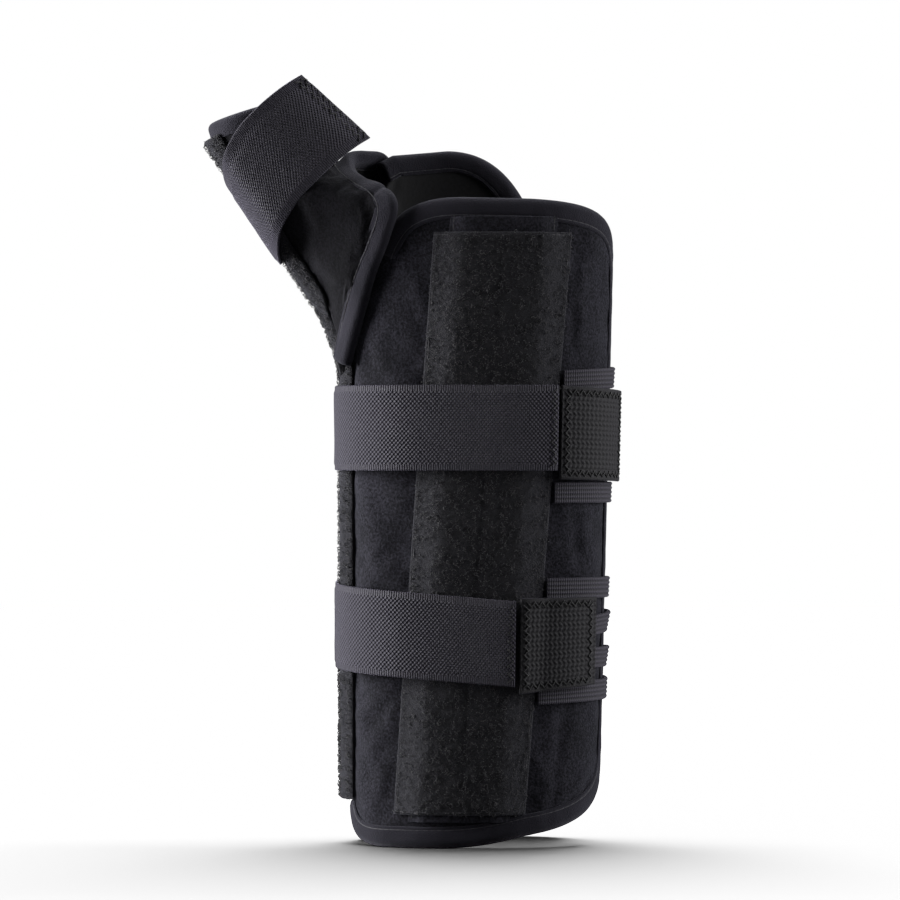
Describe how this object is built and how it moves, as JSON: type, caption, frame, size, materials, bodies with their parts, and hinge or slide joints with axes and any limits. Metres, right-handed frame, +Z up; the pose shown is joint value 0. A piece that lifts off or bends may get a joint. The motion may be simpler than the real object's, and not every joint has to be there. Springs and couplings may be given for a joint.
{
  "type": "wrist splint",
  "caption": "Padded wrist and thumb splint with stay pockets, peel-open hook-and-loop straps and an elastic side closure with pull tabs.",
  "frame": {"origin": "under the middle of the splint's outer box, on the plane of its lower hem", "axes": "+Z up the forearm towards the hand, +X towards the little-finger side, -Y the front face with the loop patch"},
  "size_m": [0.1574, 0.0824, 0.2871],
  "materials": {
    "plush": "brushed nap",
    "binding": "smooth knit tape",
    "loop_pile": "coarse loop pile",
    "pocket_cloth": "woven",
    "aluminium": "satin",
    "strap": "fine woven",
    "hook": "moulded hooks",
    "tab": "coarse woven webbing",
    "elastic": "ribbed elastic"
  },
  "bodies": {
    "splint_body": {"front_panel": "plush", "back_panel": "plush", "front_panel_binding": "binding", "back_panel_binding": "binding", "front_stay": "aluminium", "front_stay_pocket": "pocket_cloth", "front_loop_patch": "loop_pile", "back_stay": "aluminium", "back_stay_pocket": "pocket_cloth", "back_loop_patch": "loop_pile", "thumb_front_half": "plush", "thumb_back_half": "plush", "thumb_opening_binding": "binding", "thumb_tip_binding": "binding", "thumb_stay": "aluminium", "radial_loop_strip": "loop_pile", "thumb_loop_strip": "loop_pile", "upper_strap_fixed_end": "strap", "upper_strap_fixed_hook": "hook", "lower_strap_fixed_end": "strap", "lower_strap_fixed_hook": "hook", "thumb_strap_fixed_end": "strap", "upper_elastic_1": "elastic", "upper_elastic_2": "elastic", "upper_elastic_3": "elastic", "upper_elastic_4": "elastic", "lower_elastic_1": "elastic", "lower_elastic_2": "elastic", "lower_elastic_3": "elastic", "lower_elastic_4": "elastic", "elastic_anchor_strip": "tab"},
    "upper_strap": {"upper_strap": "strap", "upper_strap_hook": "hook"},
    "lower_strap": {"lower_strap": "strap", "lower_strap_hook": "hook"},
    "thumb_strap": {"thumb_strap": "strap", "thumb_strap_hook": "hook"},
    "upper_tab": {"upper_pull_tab": "tab", "upper_tab_hook": "hook"},
    "lower_tab": {"lower_pull_tab": "tab", "lower_tab_hook": "hook"}
  },
  "joints": [
    {"name": "upper_strap_peel", "type": "hinge", "parent": "splint_body", "child": "upper_strap", "pos_m": [-0.0293, 0.0013, 0.1555], "axis": [0, 0, -1], "range_deg": [0, 110]},
    {"name": "lower_strap_peel", "type": "hinge", "parent": "splint_body", "child": "lower_strap", "pos_m": [-0.0291, 0.0013, 0.0822], "axis": [0, 0, -1], "range_deg": [0, 110]},
    {"name": "thumb_strap_peel", "type": "hinge", "parent": "splint_body", "child": "thumb_strap", "pos_m": [-0.0591, 0.0026, 0.2301], "axis": [0.5592, 0, -0.829], "range_deg": [0, 100]},
    {"name": "upper_tab_peel", "type": "hinge", "parent": "splint_body", "child": "upper_tab", "pos_m": [0.0763, -0.0064, 0.1534], "axis": [0, 0, 1], "range_deg": [0, 90]},
    {"name": "lower_tab_peel", "type": "hinge", "parent": "splint_body", "child": "lower_tab", "pos_m": [0.0673, -0.0222, 0.0766], "axis": [0, 0, 1], "range_deg": [0, 90]}
  ]
}
